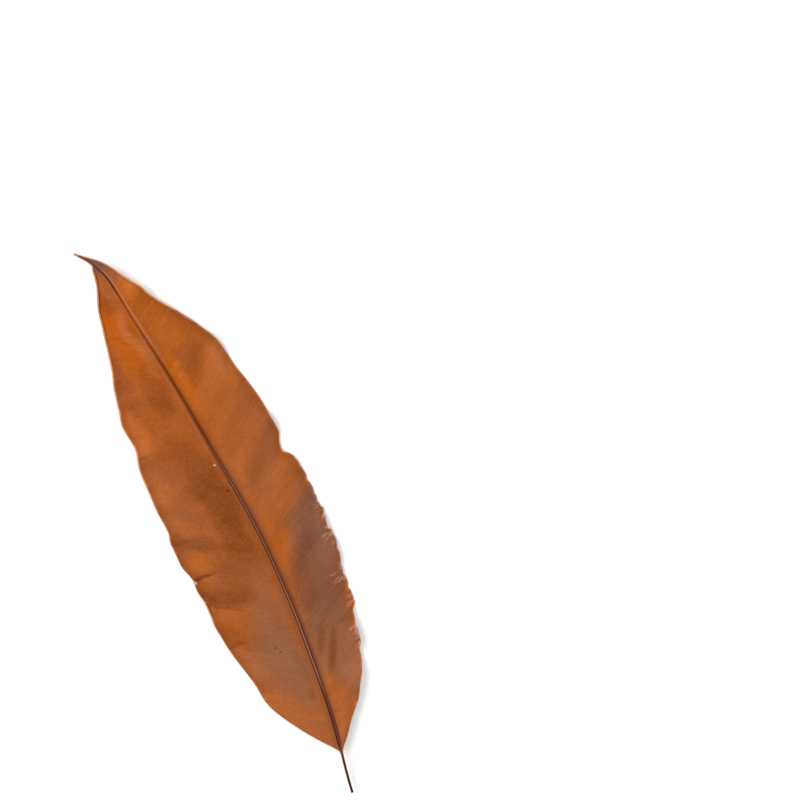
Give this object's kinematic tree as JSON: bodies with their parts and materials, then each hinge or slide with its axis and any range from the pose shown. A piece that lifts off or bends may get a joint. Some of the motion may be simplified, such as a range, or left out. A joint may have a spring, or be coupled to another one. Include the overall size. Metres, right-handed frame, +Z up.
{
  "type": "dried tropical leaf",
  "caption": "Long lance-shaped dried leaf with a raised midrib, waved margins, a narrow curled tip and a short cut stalk, lying on a surface.",
  "frame": {"origin": "middle of the leaf's box in X and Y, on the surface that the leaf lies on", "axes": "+Y along the leaf towards its tip, +Z up out of its upper face, +X to the right with the tip pointing away"},
  "size_m": [0.0816, 0.3226, 0.0119],
  "materials": {
    "dried_leaf": "satin rust-brown"
  },
  "bodies": {
    "root": {"leaf": "dried_leaf"}
  },
  "joints": []
}
